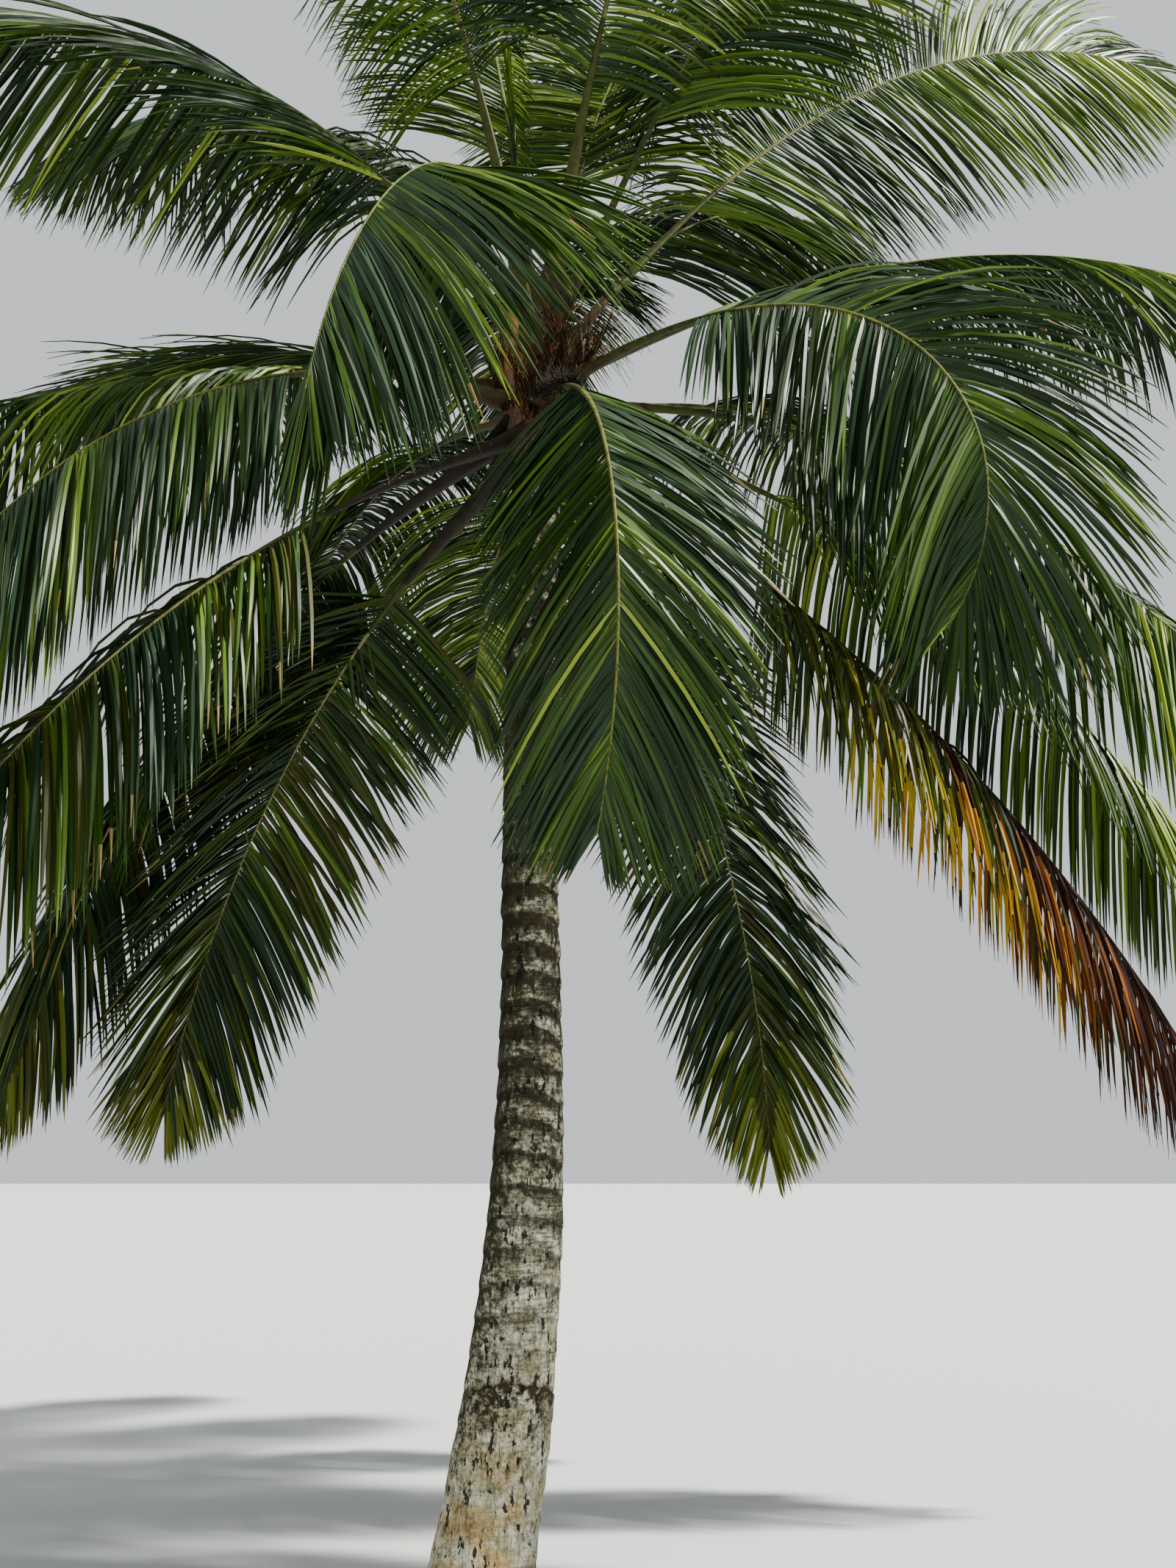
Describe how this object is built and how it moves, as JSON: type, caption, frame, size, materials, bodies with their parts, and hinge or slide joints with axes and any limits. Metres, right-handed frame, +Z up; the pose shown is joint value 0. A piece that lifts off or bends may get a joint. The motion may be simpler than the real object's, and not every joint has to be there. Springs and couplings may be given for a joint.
{
  "type": "coconut palm tree",
  "caption": "Whole tropical tree with a leaning ringed trunk that flares at the ground, a fibrous crown heart and long arching feathered fronds on all sides.",
  "frame": {"origin": "middle of the flat cut under the trunk, at ground level", "axes": "+Z up, +Y away from the front, +X to the right seen from the front"},
  "size_m": [8.3542, 6.7281, 9.1563],
  "materials": {
    "bark": "rough weathered grey bark with ring scars",
    "fibre": "matt woven brown fibre and sheath",
    "frond": "leathery green leaf with a soft gloss"
  },
  "bodies": {
    "root": {"crown_heart": "fibre", "frond_01_inner": "frond", "frond_01_outer": "frond", "frond_02_inner": "frond", "frond_02_outer": "frond", "frond_03_inner": "frond", "frond_03_outer": "frond", "frond_04": "frond", "frond_05": "frond", "frond_06": "frond", "frond_07": "frond", "frond_08_inner": "frond", "frond_08_outer": "frond", "frond_09": "frond", "frond_10": "frond", "frond_11": "frond", "frond_12": "frond", "frond_13": "frond", "frond_14": "frond", "frond_15": "frond", "frond_16_inner": "frond", "frond_16_outer": "frond", "frond_17": "frond", "frond_18": "frond", "frond_19": "frond", "frond_20": "frond", "frond_21": "frond", "frond_22": "frond", "frond_23": "frond", "frond_24": "frond", "frond_25": "frond", "frond_26": "frond", "frond_27": "frond", "frond_28": "frond", "frond_29": "frond", "trunk": "bark"}
  },
  "joints": []
}
